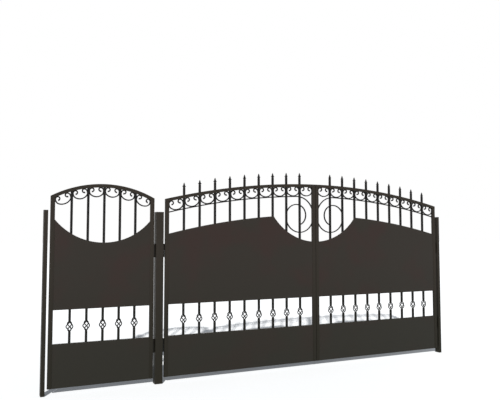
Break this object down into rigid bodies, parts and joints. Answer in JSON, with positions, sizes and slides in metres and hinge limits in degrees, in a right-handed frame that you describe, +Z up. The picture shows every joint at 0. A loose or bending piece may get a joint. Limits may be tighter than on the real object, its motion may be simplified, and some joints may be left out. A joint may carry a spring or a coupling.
{
  "type": "wrought iron driveway gate",
  "caption": "Dark wrought iron driveway gate: a wicket beside meeting leaves under an arch of spears, with scrolls, volutes, sheet infill and basket balusters, hung on steel posts.",
  "frame": {"origin": "middle of the middle post's foot, on the ground line", "axes": "+X along the gate to the right for a viewer at the front, +Y away from that viewer, +Z up"},
  "size_m": [5.26, 0.0873, 2.388],
  "materials": {
    "frame_paint": "satin",
    "sheet_paint": "satin",
    "ironwork_paint": "satin",
    "hinge_steel": "satin"
  },
  "bodies": {
    "posts": {"left_post": "frame_paint", "middle_post": "frame_paint", "right_post": "frame_paint", "post_caps": "frame_paint", "post_hinges": "hinge_steel"},
    "wicket": {"wicket_hinge_stile": "frame_paint", "wicket_free_stile": "frame_paint", "wicket_arch_rail": "frame_paint", "wicket_cross_rails": "frame_paint", "wicket_lower_sheet": "sheet_paint", "wicket_upper_sheet": "sheet_paint", "wicket_bars": "ironwork_paint", "wicket_scrolls": "ironwork_paint", "wicket_balusters": "ironwork_paint", "wicket_baskets": "ironwork_paint", "wicket_hinge_knuckles": "hinge_steel"},
    "left_leaf": {"left_leaf_hinge_stile": "frame_paint", "left_leaf_meeting_stile": "frame_paint", "left_leaf_arch_rail": "frame_paint", "left_leaf_cross_rails": "frame_paint", "left_leaf_lower_sheet": "sheet_paint", "left_leaf_upper_sheet": "sheet_paint", "left_leaf_bars": "ironwork_paint", "left_leaf_scrolls": "ironwork_paint", "left_leaf_balusters": "ironwork_paint", "left_leaf_baskets": "ironwork_paint", "left_leaf_hinge_knuckles": "hinge_steel", "left_leaf_volute_bar": "ironwork_paint", "left_leaf_spears": "ironwork_paint"},
    "right_leaf": {"right_leaf_hinge_stile": "frame_paint", "right_leaf_meeting_stile": "frame_paint", "right_leaf_arch_rail": "frame_paint", "right_leaf_cross_rails": "frame_paint", "right_leaf_lower_sheet": "sheet_paint", "right_leaf_upper_sheet": "sheet_paint", "right_leaf_bars": "ironwork_paint", "right_leaf_scrolls": "ironwork_paint", "right_leaf_balusters": "ironwork_paint", "right_leaf_baskets": "ironwork_paint", "right_leaf_hinge_knuckles": "hinge_steel", "right_leaf_volute_bar": "ironwork_paint", "right_leaf_spears": "ironwork_paint"}
  },
  "joints": [
    {"name": "wicket_hinge", "type": "hinge", "parent": "posts", "child": "wicket", "pos_m": [-0.0525, 0, 1], "axis": [0, 0, -1], "range_deg": [0, 90]},
    {"name": "left_leaf_hinge", "type": "hinge", "parent": "posts", "child": "left_leaf", "pos_m": [0.0525, 0, 1], "axis": [0, 0, 1], "range_deg": [0, 90]},
    {"name": "right_leaf_hinge", "type": "hinge", "parent": "posts", "child": "right_leaf", "pos_m": [3.9875, 0, 1], "axis": [0, 0, -1], "range_deg": [0, 90]}
  ]
}
